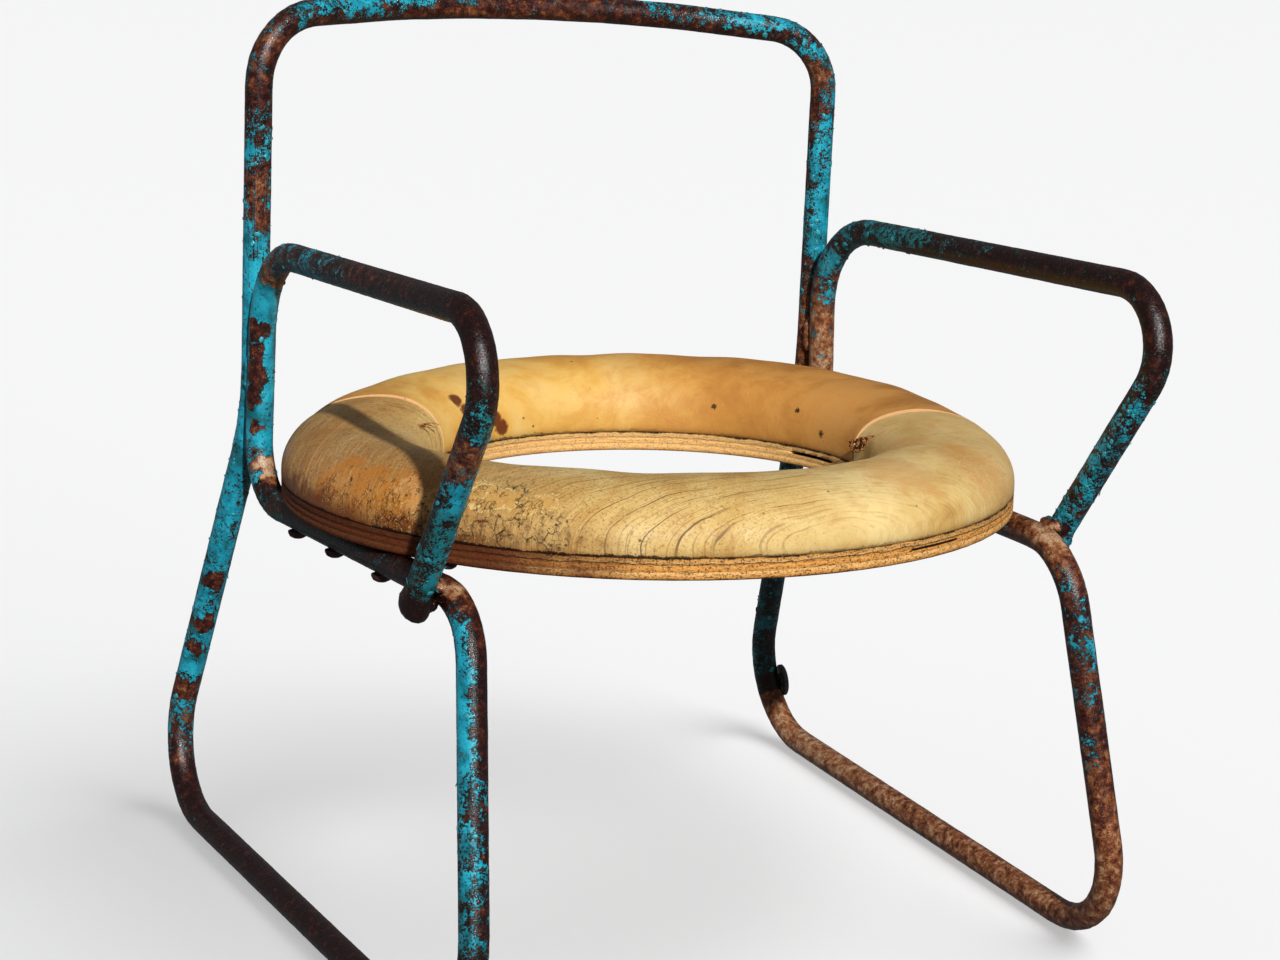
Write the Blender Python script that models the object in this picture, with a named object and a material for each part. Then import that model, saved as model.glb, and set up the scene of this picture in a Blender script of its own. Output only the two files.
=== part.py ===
"""Low chair with a ring seat.

One steel tube is bent into both sides and the back, and its ends are welded to the seat rails.
A plywood base ring lies on the rails and carries two crowned half planks glued edge to edge.
Units are metres. X runs across the seat, Y runs from the front to the back, Z is up and the
runners stand on Z = 0.
"""
import math

import bmesh
import bpy
from mathutils import Matrix, Vector

# Steel tube
TUBE_RADIUS = 0.008
TUBE_SIDES = 14
BEND_STEP = math.radians(10.0)
CLEARANCE = 0.0003

# Corners of one side of the bent tube, before rounding: (outward, back, up), then how far the old
# frame has racked (added on the right, taken off on the left), then the bend radius of each side.
# None marks a value that follows from the seat, the post or the rail. Both sides then move by
# SIDE_SHIFT, which centres the chair with its leg disc on X = 0.
TOP, KNEE, HEEL, TOE, RAIL_FRONT, RAIL_BACK, ARM_BACK, ARM_FRONT, STRUT_END = range(9)
CORNERS = {
    TOP: ((0.1916, 0.1404, 0.4965), (0.0006, 0.0050, -0.0074), (0.040, 0.040)),
    KNEE: ((0.1924, 0.1394, 0.2720), (0.0009, 0.0050, 0.0010), (0.150, 0.150)),
    HEEL: ((0.2138, 0.2282, TUBE_RADIUS), (-0.0005, -0.0036, 0.0), (0.050, 0.052)),
    TOE: ((0.2050, -0.2223, TUBE_RADIUS), (0.0040, 0.0049, 0.0), (0.056, 0.056)),
    RAIL_FRONT: ((0.1793, -0.1704, None), (-0.0038, -0.0067, 0.0), (0.038, 0.038)),
    RAIL_BACK: ((0.1952, None, None), (0.0005, 0.0, 0.0), (0.034, 0.024)),
    ARM_BACK: ((0.1910, None, 0.3720), (-0.0015, 0.0, -0.0005), (0.054, 0.058)),
    ARM_FRONT: ((0.2022, -0.2381, 0.3978), (0.0015, 0.0, -0.0038), (0.034, 0.034)),
    STRUT_END: ((None, -0.1326, 0.2290), (0.0, -0.0022, 0.0), (0.0, 0.0)),
}
SIDE_SHIFT = -0.0024
BACK_BOW = 0.0319
BACK_ARCH = 0.0085
BACK_STATIONS = (0.25, 0.375, 0.5, 0.625, 0.75)
BOW_RADIUS = 0.150

# Hammered strut end: (distance from the end, width across the side, width along the side)
END_SHAPE = ((0.016, 1.0, 1.0), (0.009, 1.05, 1.20), (0.004, 1.05, 1.34), (0.0, 0.72, 1.02))

# Seat, in its own tilted frame: the origin is the ring centre on the underside of the base ring
SEAT_CENTRE = Vector((0.0023, 0.0045, 0.2396))
SEAT_TILT = math.radians(3.19)
SEAT_OUTER = 0.213
SEAT_HOLE = 0.1296
SEAT_SIDES = 76
BASE_HEIGHT = 0.0116
BASE_EDGE = 0.0010
PLY_GROOVE = 0.0006
PLY_LINES = (0.36, 0.66)

# Crowned planks
PLANK_HEIGHT_FRONT = 0.0352
PLANK_HEIGHT_BACK = 0.0420
PLANK_LIP = 0.0030
CROWN_OUTER_POWER = 1.10
CROWN_INNER_POWER = 0.85
CROWN_STEPS = 16
# Where each crown is worn down: (angle round the ring, share of the height lost there, sharpness)
FRONT_WEAR = ((math.radians(165.0), 0.100, 6), (math.radians(-40.0), 0.100, 4))
BACK_WEAR = ((math.radians(-27.5), 0.230, 10), (math.radians(143.0), 0.125, 10))
JOINT_TURN = math.radians(-27.5)
JOINT_OFFSET = 0.043
JOINT_OPENING = math.radians(0.35)

# Torn fibres at the joint: (angle round the ring, share of the ring's width from the hole, height)
TUFT_SPOT = (math.radians(-4.5), 0.05, 0.0270)
SLIVER_SPOT = (math.radians(131.5), 0.25, 0.0468)

# Splits in the plywood edge: (middle angle, half angle, height above the underside, on the outside)
SPLITS = (
    (math.radians(-70.5), math.radians(5.5), 0.0062, True),
    (math.radians(11.0), math.radians(8.5), 0.0078, False),
)
SPLIT_DEPTH = 0.006
SPLIT_HEIGHT = 0.0013

# Fixings
SHANK_RADIUS = 0.0025
BORE_DEPTH = 0.0070
BOLT_HEAD = 0.0058
BOLT_HEAD_HEIGHT = 0.0046
BOLT_STATIONS = (0.0580, 0.0060, -0.0560)
RIM_SCREW_INSET = 0.008
RIM_SCREW_GAP = 0.003
RIM_SCREW_HEAD = 0.0050
DISC_RADIUS = 0.0108
DISC_THICKNESS = 0.0030
DISC_BOSS = 0.0045
DISC_STANDOFF = 0.0010
DISC_HEIGHT = 0.0365
DISC_TURN = math.radians(14.0)


def make_material(name, colour, roughness, metallic):
    material = bpy.data.materials.new(name)
    material.use_nodes = True
    shader = material.node_tree.nodes["Principled BSDF"]
    shader.inputs["Base Color"].default_value = (*colour, 1.0)
    shader.inputs["Roughness"].default_value = roughness
    shader.inputs["Metallic"].default_value = metallic
    return material


def finish(name, bm, material, crease=math.radians(40.0)):
    """Turn a bmesh into an object, smooth except where the surface folds sharply."""
    bmesh.ops.recalc_face_normals(bm, faces=bm.faces)
    for face in bm.faces:
        face.smooth = True
    for edge in bm.edges:
        edge.smooth = len(edge.link_faces) == 2 and edge.calc_face_angle() < crease
    mesh = bpy.data.meshes.new(name)
    bm.to_mesh(mesh)
    bm.free()
    thing = bpy.data.objects.new(name, mesh)
    bpy.context.scene.collection.objects.link(thing)
    if material:
        mesh.materials.append(material)
    return thing


def combine(target, tool, operation):
    """Join a hidden tool body to the target, or cut it away."""
    tool.hide_render = True
    tool.display_type = "WIRE"
    modifier = target.modifiers.new(tool.name, "BOOLEAN")
    modifier.operation = operation
    modifier.object = tool


def seat_place(x=0.0, y=0.0, z=0.0):
    """Matrix from the tilted seat frame to the world, with an extra shift inside the seat frame."""
    turned = Matrix.Rotation(-SEAT_TILT, 4, "X") @ Matrix.Translation((x, y, z))
    return Matrix.Translation(SEAT_CENTRE) @ turned


def skin(bm, loops, closed):
    """Quads between neighbouring loops of equal length; closed joins the last loop to the first."""
    pairs = list(zip(loops, loops[1:]))
    if closed:
        pairs.append((loops[-1], loops[0]))
    for low, high in pairs:
        for i, vert in enumerate(low):
            j = (i + 1) % len(low)
            bm.faces.new((vert, low[j], high[j], high[i]))


def revolve(profile, sides, place=Matrix.Identity(4), bm=None):
    """Body of revolution about Z; the profile starts and ends on the axis."""
    bm = bm or bmesh.new()
    loops = []
    for radius, z in profile[1:-1]:
        loop = []
        for i in range(sides):
            angle = math.tau * i / sides
            point = Vector((radius * math.cos(angle), radius * math.sin(angle), z))
            loop.append(bm.verts.new(place @ point))
        loops.append(loop)
    skin(bm, loops, closed=False)
    for (_, z), loop in ((profile[0], loops[0]), (profile[-1], loops[-1])):
        pole = bm.verts.new(place @ Vector((0.0, 0.0, z)))
        for i, vert in enumerate(loop):
            bm.faces.new((vert, loop[(i + 1) % sides], pole))
    return bm


def ring_body(profile_at, sides, start=0.0, sweep=math.tau):
    """Sweep a closed profile about Z; profile_at(angle) returns (radius, z) pairs."""
    bm = bmesh.new()
    whole = sweep >= math.tau
    stations = sides if whole else sides + 1
    loops = []
    for i in range(stations):
        angle = start + sweep * i / sides
        ray = Vector((math.cos(angle), math.sin(angle), 0.0))
        loops.append([bm.verts.new(ray * r + Vector((0.0, 0.0, z))) for r, z in profile_at(angle)])
    skin(bm, loops, closed=whole)
    if not whole:
        bm.faces.new(loops[0])
        bm.faces.new(loops[-1])
    return bm


# The bent tube

def rail_height(y):
    """Height of a rail centre line that lies just under the tilted seat."""
    drop = (TUBE_RADIUS + CLEARANCE) / math.cos(SEAT_TILT)
    return SEAT_CENTRE.z - (y - SEAT_CENTRE.y) * math.tan(SEAT_TILT) - drop


def along(start, end, axis, value):
    """Point on the line start-end where the given coordinate has the given value."""
    share = (value - start[axis]) / (end[axis] - start[axis])
    return start.lerp(end, share)


def side_corners(sign):
    """Corners of one side in world coordinates, from the back post round to the strut end."""
    spots = {}
    for key, (base, rack, _) in CORNERS.items():
        spots[key] = Vector([0.0 if b is None else b + sign * r for b, r in zip(base, rack)])
    touch = 2 * TUBE_RADIUS + CLEARANCE
    post = along(spots[KNEE], spots[TOP], 2, spots[ARM_BACK].z)
    spots[ARM_BACK].y = post.y - touch
    spots[RAIL_BACK].y = spots[KNEE].y - touch
    for key in (RAIL_FRONT, RAIL_BACK):
        spots[key].z = rail_height(spots[key].y)
    rail = along(spots[RAIL_FRONT], spots[RAIL_BACK], 1, spots[STRUT_END].y)
    spots[STRUT_END].x = rail.x + touch
    for spot in spots.values():
        spot.x = spot.x * sign + SIDE_SHIFT
    return spots


def bend_radii(sign):
    return {key: radii[0 if sign < 0 else 1] for key, (_, _, radii) in CORNERS.items()}


def round_corner(before, corner, after, radius):
    """Points along the arc that rounds one corner."""
    back = (before - corner).normalized()
    ahead = (after - corner).normalized()
    opening = back.angle(ahead)
    turn = math.pi - opening
    start = corner + back * radius / math.tan(opening / 2)
    centre = corner + (back + ahead).normalized() * radius / math.sin(opening / 2)
    spoke = (start - centre).normalized()
    steps = max(2, math.ceil(turn / BEND_STEP))
    points = []
    for i in range(steps + 1):
        angle = turn * i / steps
        points.append(centre + radius * (spoke * math.cos(angle) - back * math.sin(angle)))
    return points


def tube_path(corners, radii):
    """Centre line through rounded corners, with extra stations near the two hammered ends."""
    path = []
    for distance, _, _ in reversed(END_SHAPE):
        path.append(corners[0] + (corners[1] - corners[0]).normalized() * distance)
    for i in range(1, len(corners) - 1):
        path += round_corner(corners[i - 1], corners[i], corners[i + 1], radii[i])
    for distance, _, _ in END_SHAPE:
        path.append(corners[-1] + (corners[-2] - corners[-1]).normalized() * distance)
    return path


def sweep_tube(path):
    """Round tube along a path; its cross axes are carried along without twisting."""
    bm = bmesh.new()
    last = len(path) - 1
    across = Vector((1.0, 0.0, 0.0))
    loops = []
    for i, point in enumerate(path):
        heading = (path[min(i + 1, last)] - path[max(i - 1, 0)]).normalized()
        across = (across - heading * across.dot(heading)).normalized()
        side = heading.cross(across)
        nearest = min(i, last - i)
        wide, deep = 1.0, 1.0
        if nearest < len(END_SHAPE):
            _, wide, deep = END_SHAPE[-1 - nearest]
        loop = []
        for k in range(TUBE_SIDES):
            angle = math.tau * k / TUBE_SIDES
            offset = across * wide * math.cos(angle) + side * deep * math.sin(angle)
            loop.append(bm.verts.new(point + offset * TUBE_RADIUS))
        loops.append(loop)
    skin(bm, loops, closed=False)
    bm.faces.new(loops[0])
    bm.faces.new(loops[-1])
    return bm


def weld_bead(bm, start, end, radius, ripples):
    """Rippled bead between two points, rounded off at both ends."""
    axis = end - start
    steps = ripples * 3
    profile = [(0.0, 0.0)]
    for i in range(1, steps):
        share = i / steps
        swell = (1.0 - (2.0 * share - 1.0) ** 4) ** 0.5
        ripple = 1.0 + 0.12 * math.cos(math.tau * ripples * share)
        profile.append((radius * swell * ripple, axis.length * share))
    profile.append((0.0, axis.length))
    turn = axis.to_track_quat("Z", "Y").to_matrix().to_4x4()
    revolve(profile, 10, Matrix.Translation(start) @ turn, bm)


def add_welds(bm, sign, spots):
    """Beads that join the arm to the post and the strut end to the rail."""
    inward = Vector((-sign, 0.0, 0.0))
    post_low = along(spots[KNEE], spots[TOP], 2, 0.286)
    post_high = along(spots[KNEE], spots[TOP], 2, 0.309)
    seam = Vector((0.0, -TUBE_RADIUS, 0.0))
    for shift in (inward * 0.0050, inward * -0.0058):
        weld_bead(bm, post_low + seam + shift, post_high + seam + shift, 0.0040, 4)
    rail = along(spots[RAIL_FRONT], spots[RAIL_BACK], 1, spots[STRUT_END].y)
    seat = rail - inward * (TUBE_RADIUS + 0.001)
    run = (spots[RAIL_BACK] - spots[RAIL_FRONT]).normalized()
    for lift, ahead, radius in ((-0.0062, 0.000, 0.0046), (0.0058, -0.010, 0.0040)):
        middle = seat + Vector((0.0, 0.0, lift)) + run * ahead
        weld_bead(bm, middle - run * 0.010, middle + run * 0.010, radius, 3)


def build_frame(material):
    right = side_corners(1)
    left = side_corners(-1)
    order = (STRUT_END, ARM_FRONT, ARM_BACK, RAIL_BACK, RAIL_FRONT, TOE, HEEL, KNEE, TOP)
    corners = [right[key] for key in order]
    radii = [bend_radii(1)[key] for key in order]
    for share in BACK_STATIONS:
        rise = 1.0 - (2.0 * share - 1.0) ** 2
        bow = Vector((0.0, BACK_BOW * rise, BACK_ARCH * rise))
        corners.append(right[TOP].lerp(left[TOP], share) + bow)
        radii.append(BOW_RADIUS)
    corners += [left[key] for key in reversed(order)]
    radii += [bend_radii(-1)[key] for key in reversed(order)]
    frame = finish("frame_tube", sweep_tube(tube_path(corners, radii)), material)
    beads = bmesh.new()
    for sign, spots in ((1, right), (-1, left)):
        add_welds(beads, sign, spots)
    combine(frame, finish("weld_beads", beads, None), "UNION")
    return frame, {"right": right, "left": left}


# The seat

def base_profile(_angle):
    """Plywood section: eased edges and two shallow grooves where the plies meet."""
    outside = [(SEAT_OUTER - BASE_EDGE, 0.0), (SEAT_OUTER, BASE_EDGE)]
    inside = [(SEAT_HOLE, BASE_HEIGHT)]
    for share in PLY_LINES:
        z = BASE_HEIGHT * share
        for shift, depth in ((-PLY_GROOVE, 0.0), (0.0, PLY_GROOVE), (PLY_GROOVE, 0.0)):
            outside.append((SEAT_OUTER - depth, z + shift))
            inside.insert(1, (SEAT_HOLE + depth, z + shift))
    outside.append((SEAT_OUTER, BASE_HEIGHT))
    inside += [(SEAT_HOLE, BASE_EDGE), (SEAT_HOLE + BASE_EDGE, 0.0)]
    return outside + inside


def worn_height(height, wear, angle):
    """Crown height left at an angle round the ring."""
    for centre, depth, sharpness in wear:
        height *= 1.0 - depth * ((1.0 + math.cos(angle - centre)) / 2.0) ** sharpness
    return height


def plank_profile(height):
    """Crowned section: rounder outside, fuller inside."""
    middle = (SEAT_OUTER + SEAT_HOLE) / 2
    half = (SEAT_OUTER - SEAT_HOLE) / 2
    foot = BASE_HEIGHT + CLEARANCE
    lip = foot + PLANK_LIP
    points = [(SEAT_HOLE, foot), (SEAT_OUTER, foot)]
    for i in range(CROWN_STEPS + 1):
        turn = math.pi * i / CROWN_STEPS
        power = CROWN_OUTER_POWER if i < CROWN_STEPS / 2 else CROWN_INNER_POWER
        reach = math.copysign(abs(math.cos(turn)) ** power, math.cos(turn))
        points.append((middle + half * reach, lip + (height - PLANK_LIP) * math.sin(turn) ** 0.85))
    return points


def build_plank(name, height, wear, keep_back, material):
    """Full crowned ring cut along the glue joint; the two cuts open slightly to the right."""
    bm = ring_body(lambda angle: plank_profile(worn_height(height, wear, angle)), SEAT_SIDES)
    turn = JOINT_TURN + (0.0 if keep_back else -JOINT_OPENING)
    normal = Vector((-math.sin(turn), math.cos(turn), 0.0))
    pivot_run = math.sqrt(SEAT_OUTER ** 2 - JOINT_OFFSET ** 2)
    seam = Vector((math.cos(JOINT_TURN), math.sin(JOINT_TURN), 0.0))
    across = Vector((-math.sin(JOINT_TURN), math.cos(JOINT_TURN), 0.0))
    pivot = across * JOINT_OFFSET - seam * pivot_run
    if not keep_back:
        normal.negate()
        pivot -= across * CLEARANCE
    geometry = list(bm.verts) + list(bm.edges) + list(bm.faces)
    cut = bmesh.ops.bisect_plane(bm, geom=geometry, plane_co=pivot, plane_no=normal, clear_inner=True)
    rims = [item for item in cut["geom_cut"] if isinstance(item, bmesh.types.BMEdge)]
    bmesh.ops.holes_fill(bm, edges=rims, sides=0)
    bmesh.ops.transform(bm, matrix=seat_place(), verts=bm.verts)
    return finish(name, bm, material)


def splinter_bodies():
    """Torn fibres standing up at the two ends of the glue joint."""
    bm = bmesh.new()
    tuft = ring_spot(*TUFT_SPOT) @ Matrix.Rotation(math.radians(-62.0), 4, "Y")
    made = bmesh.ops.create_cone(
        bm, cap_ends=True, segments=14, radius1=0.0062, radius2=0.0018, depth=0.0120, matrix=tuft
    )
    for i, vert in enumerate(made["verts"]):
        local = tuft.inverted() @ vert.co
        pinch = 0.74 if i % 2 else 1.0
        vert.co = tuft @ Vector((local.x * pinch, local.y * pinch, local.z))
    lean = Matrix.Rotation(math.radians(-20.0), 4, "Z") @ Matrix.Rotation(math.radians(82.0), 4, "Y")
    sliver = ring_spot(*SLIVER_SPOT) @ lean
    bmesh.ops.create_cone(
        bm, cap_ends=True, segments=5, radius1=0.0016, radius2=0.0003, depth=0.016, matrix=sliver
    )
    bmesh.ops.transform(bm, matrix=seat_place(), verts=bm.verts)
    return bm


def ring_spot(angle, share, height):
    """Place in the seat frame at a share of the way from the hole to the rim."""
    radius = SEAT_HOLE + share * (SEAT_OUTER - SEAT_HOLE)
    return Matrix.Translation((radius * math.cos(angle), radius * math.sin(angle), height))


def split_cutter(name, middle, half, height, outside):
    """Thin curved wedge that opens the plywood edge."""
    edge = SEAT_OUTER if outside else SEAT_HOLE
    sign = -1.0 if outside else 1.0
    near = edge - sign * SPLIT_DEPTH
    deep = edge + sign * SPLIT_DEPTH
    low = height - SPLIT_HEIGHT / 2
    high = height + SPLIT_HEIGHT / 2

    def section(_angle):
        return [(near, low), (near, high), (deep, high - SPLIT_HEIGHT / 4), (deep, low)]

    bm = ring_body(section, 10, middle - half, 2 * half)
    bmesh.ops.transform(bm, matrix=seat_place(), verts=bm.verts)
    return finish(name, bm, None)


def build_seat(ply, wood, bores):
    base_mesh = ring_body(base_profile, SEAT_SIDES)
    bmesh.ops.transform(base_mesh, matrix=seat_place(), verts=base_mesh.verts)
    base = finish("seat_base_ring", base_mesh, ply)
    for i, (middle, half, height, outside) in enumerate(SPLITS):
        combine(base, split_cutter(f"split_{i}", middle, half, height, outside), "DIFFERENCE")
    combine(base, bores, "DIFFERENCE")
    build_plank("seat_plank_front", PLANK_HEIGHT_FRONT, FRONT_WEAR, False, wood)
    back = build_plank("seat_plank_back", PLANK_HEIGHT_BACK, BACK_WEAR, True, wood)
    combine(back, finish("splinters", splinter_bodies(), None), "UNION")


# The fixings

def domed(radius, top, height, shank_top):
    """Profile of a domed head hanging below a shank."""
    return [
        (0.0, shank_top),
        (SHANK_RADIUS, shank_top),
        (SHANK_RADIUS, top),
        (radius, top),
        (radius, top - 0.28 * height),
        (radius * 0.84, top - 0.68 * height),
        (radius * 0.48, top - 0.93 * height),
        (0.0, top - height),
    ]


def rim_screw_spot(rail, sign):
    """Seat-frame position under the rim, in front of the bolts and clear of the rail."""
    reach = SEAT_OUTER - RIM_SCREW_INSET
    y = -reach / 2
    for _ in range(4):
        point = seat_place().inverted() @ along(rail[RAIL_FRONT], rail[RAIL_BACK], 1, y)
        x = point.x - sign * (TUBE_RADIUS + RIM_SCREW_HEAD + RIM_SCREW_GAP)
        y = -math.sqrt(max(reach ** 2 - x ** 2, 0.0))
    return x, y


def fixing_spots(rails):
    """Seat-frame position, head radius and head top of every fixing, by name."""
    spots = {}
    under_rail = -(2 * TUBE_RADIUS + 2 * CLEARANCE)
    for side, rail in rails.items():
        for number, y in enumerate(BOLT_STATIONS, start=1):
            point = along(rail[RAIL_FRONT], rail[RAIL_BACK], 1, y)
            local = seat_place().inverted() @ point
            spots[f"rail_bolt_{side}_{number}"] = (local.x, local.y, BOLT_HEAD, under_rail)
        x, y = rim_screw_spot(rail, 1.0 if side == "right" else -1.0)
        spots[f"rim_screw_{side}"] = (x, y, RIM_SCREW_HEAD, -CLEARANCE)
    return spots


def bore_cutter(spots):
    """One body per fixing, a little wider than its shank and open below."""
    bm = bmesh.new()
    radius = SHANK_RADIUS + CLEARANCE
    for x, y, _, top in spots.values():
        low = top - 0.002
        profile = [(0.0, BORE_DEPTH), (radius, BORE_DEPTH), (radius, low), (0.0, low)]
        revolve(profile, 12, seat_place(x, y), bm)
    return finish("bores", bm, None)


def build_fixings(spots, material):
    for name, (x, y, radius, top) in spots.items():
        profile = domed(radius, top, BOLT_HEAD_HEIGHT, BORE_DEPTH - CLEARANCE)
        finish(name, revolve(profile, 16, seat_place(x, y)), material)


def build_leg_disc(spots, material):
    """Flat disc on a short boss, standing off the outside of the right rear bend."""
    path = round_corner(spots[TOE], spots[HEEL], spots[KNEE], bend_radii(1)[HEEL])
    below = max((point for point in path if point.z < DISC_HEIGHT), key=lambda point: point.z)
    above = min((point for point in path if point.z >= DISC_HEIGHT), key=lambda point: point.z)
    middle = along(below, above, 2, DISC_HEIGHT)
    start = TUBE_RADIUS + CLEARANCE
    face = start + DISC_STANDOFF
    profile = [
        (0.0, start),
        (DISC_BOSS, start),
        (DISC_BOSS, face),
        (DISC_RADIUS, face),
        (DISC_RADIUS, face + 0.7 * DISC_THICKNESS),
        (DISC_RADIUS * 0.88, face + DISC_THICKNESS),
        (0.0, face + DISC_THICKNESS),
    ]
    axis = Matrix.Rotation(DISC_TURN, 3, below - above) @ Vector((1.0, 0.0, 0.0))
    place = Matrix.Translation(middle) @ axis.to_track_quat("Z", "Y").to_matrix().to_4x4()
    finish("leg_disc", revolve(profile, 24, place), material)


def main():
    for thing in list(bpy.data.objects):
        bpy.data.objects.remove(thing, do_unlink=True)
    paint = make_material("peeling_paint", (0.03, 0.33, 0.40), 0.55, 0.0)
    ply = make_material("grimy_plywood", (0.42, 0.26, 0.11), 0.70, 0.0)
    wood = make_material("varnished_wood", (0.60, 0.37, 0.14), 0.45, 0.0)
    iron = make_material("rusty_fixings", (0.10, 0.05, 0.035), 0.80, 0.3)
    grey = make_material("dull_disc", (0.12, 0.13, 0.13), 0.65, 0.2)
    frame, rails = build_frame(paint)
    spots = fixing_spots(rails)
    bores = bore_cutter(spots)
    combine(frame, bores, "DIFFERENCE")
    build_seat(ply, wood, bores)
    build_fixings(spots, iron)
    build_leg_disc(rails["right"], grey)


main()
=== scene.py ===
"""Ring-seat chair in peeling paint: finishes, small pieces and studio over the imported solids."""

import math
from random import Random
from statistics import NormalDist

import bmesh
import bpy
import numpy as np
from bpy.props import FloatProperty, FloatVectorProperty, IntProperty, PointerProperty
from mathutils import Matrix, Vector, noise
from mathutils.bvhtree import BVHTree
from mathutils.kdtree import KDTree


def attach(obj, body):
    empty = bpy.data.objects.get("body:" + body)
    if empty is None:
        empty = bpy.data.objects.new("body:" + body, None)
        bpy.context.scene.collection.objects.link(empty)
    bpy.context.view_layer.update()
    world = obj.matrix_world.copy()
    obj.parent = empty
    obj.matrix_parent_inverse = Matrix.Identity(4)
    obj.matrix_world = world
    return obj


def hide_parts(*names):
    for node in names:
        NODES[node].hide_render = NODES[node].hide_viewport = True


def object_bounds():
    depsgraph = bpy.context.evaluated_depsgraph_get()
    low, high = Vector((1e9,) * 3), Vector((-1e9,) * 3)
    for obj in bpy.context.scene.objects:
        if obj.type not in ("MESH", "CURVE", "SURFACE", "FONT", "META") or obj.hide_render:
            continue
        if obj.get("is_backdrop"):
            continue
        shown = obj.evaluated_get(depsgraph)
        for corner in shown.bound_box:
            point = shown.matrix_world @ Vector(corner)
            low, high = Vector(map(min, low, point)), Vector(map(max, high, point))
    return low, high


bl_info = {
    "name": "Peeling Paint Chair",
    "version": (1, 0, 0),
    "blender": (4, 5, 0),
    "location": "View3D > Sidebar > Chair",
    "description": "Finishes and small pieces of a ring-seat chair in peeling paint",
    "category": "Add Mesh",
}

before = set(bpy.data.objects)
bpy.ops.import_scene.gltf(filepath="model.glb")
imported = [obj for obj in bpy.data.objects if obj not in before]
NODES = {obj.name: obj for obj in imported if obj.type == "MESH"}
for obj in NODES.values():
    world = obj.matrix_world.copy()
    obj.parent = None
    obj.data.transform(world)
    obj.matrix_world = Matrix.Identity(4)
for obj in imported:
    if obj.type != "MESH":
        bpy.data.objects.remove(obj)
LOADED_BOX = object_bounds()

# Where the bent tube turns, on the left (-X) and the right, in millimetres
CORNERS = {
    "left": {
        "top": (-193, 135, 504), "knee": (-194, 134, 271), "heel": (-216, 232, 8), "toe": (-203, -227, 8),
        "rail front": (-185, -164, 241), "rail back": (-197, 118, 225), "arm back": (-195, 119, 372),
        "arm front": (-203, -240, 402), "strut end": (-204, -130, 227),
    },
    "right": {
        "top": (190, 145, 489), "knee": (191, 144, 273), "heel": (211, 225, 8), "toe": (207, -217, 8),
        "rail front": (173, -177, 242), "rail back": (193, 128, 225), "arm back": (187, 127, 372),
        "arm front": (202, -237, 394), "strut end": (193, -135, 227),
    },
}

# How worn each run is: (percent along the run, percent of paint left, rust tone from dark 0 to tan 10)
WEAR = {
    ("left", "top", "knee"): (
        (0, 12, 5), (10, 6, 4), (22, 25, 3), (34, 62, 3), (42, 30, 4), (48, 40, 4), (58, 78, 4), (70, 72, 3),
        (85, 76, 3), (100, 80, 3),
    ),
    ("left", "knee", "heel"): (
        (0, 80, 3), (20, 84, 3), (36, 78, 3), (50, 74, 3), (66, 82, 3), (78, 40, 4), (90, 20, 3), (100, 6, 3),
    ),
    ("left", "heel", "toe"): ((0, 8, 2), (14, 2, 1), (40, 0, 0), (70, 1, 0), (100, 5, 1)),
    ("left", "toe", "rail front"): (
        (0, 6, 2), (12, 24, 2), (30, 36, 2), (46, 36, 2), (60, 42, 2), (70, 30, 2), (90, 26, 2), (100, 8, 4),
    ),
    ("left", "rail front", "rail back"): ((0, 5, 4), (10, 4, 0), (100, 20, 1)),
    ("left", "rail back", "arm back"): (
        (0, 30, 3), (10, 62, 4), (20, 78, 4), (34, 93, 3), (60, 95, 3), (78, 93, 3), (90, 80, 3), (100, 30, 4),
    ),
    ("left", "arm back", "arm front"): (
        (0, 20, 5), (6, 10, 6), (14, 34, 3), (26, 38, 3), (36, 20, 2), (46, 5, 3), (62, 2, 2), (80, 0, 0),
        (100, 0, 0),
    ),
    ("left", "arm front", "strut end"): (
        (0, 0, 0), (18, 1, 1), (26, 32, 1), (34, 32, 1), (38, 8, 5), (46, 10, 5), (52, 42, 2), (62, 50, 1),
        (75, 46, 1), (88, 44, 1), (92, 6, 0), (100, 0, 0),
    ),
    ("right", "top", "knee"): (
        (0, 40, 4), (10, 22, 5), (20, 16, 4), (32, 52, 3), (46, 72, 3), (60, 66, 3), (72, 40, 4), (84, 10, 5),
        (100, 3, 5),
    ),
    ("right", "knee", "heel"): ((0, 10, 4), (25, 60, 2), (60, 46, 1), (82, 30, 1), (100, 12, 3)),
    ("right", "heel", "toe"): ((0, 8, 5), (18, 1, 7), (45, 1, 6), (80, 0, 6), (100, 1, 5)),
    ("right", "toe", "rail front"): (
        (0, 1, 6), (20, 1, 6), (42, 3, 5), (54, 12, 4), (70, 24, 4), (84, 22, 3), (92, 12, 4), (100, 6, 6),
    ),
    ("right", "rail front", "rail back"): ((0, 6, 6), (20, 12, 5), (100, 15, 3)),
    ("right", "rail back", "arm back"): (
        (0, 5, 6), (42, 4, 7), (55, 14, 6), (70, 40, 5), (86, 60, 3), (100, 44, 3),
    ),
    ("right", "arm back", "arm front"): (
        (0, 36, 3), (12, 52, 1), (26, 44, 1), (38, 20, 0), (52, 6, 0), (74, 3, 0), (90, 6, 2), (100, 3, 2),
    ),
    ("right", "arm front", "strut end"): (
        (0, 1, 1), (18, 4, 1), (32, 30, 2), (50, 46, 2), (72, 56, 2), (90, 56, 3), (100, 30, 4),
    ),
    ("left", "top", "right top"): (
        (0, 6, 3), (9, 26, 3), (20, 36, 3), (26, 8, 3), (36, 1, 4), (46, 6, 4), (56, 4, 4), (70, 8, 3),
        (80, 30, 3), (92, 36, 3), (100, 40, 3),
    ),
}
TOP_BOW = (0, 32, 8)
RUN_POINTS = 60
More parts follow.
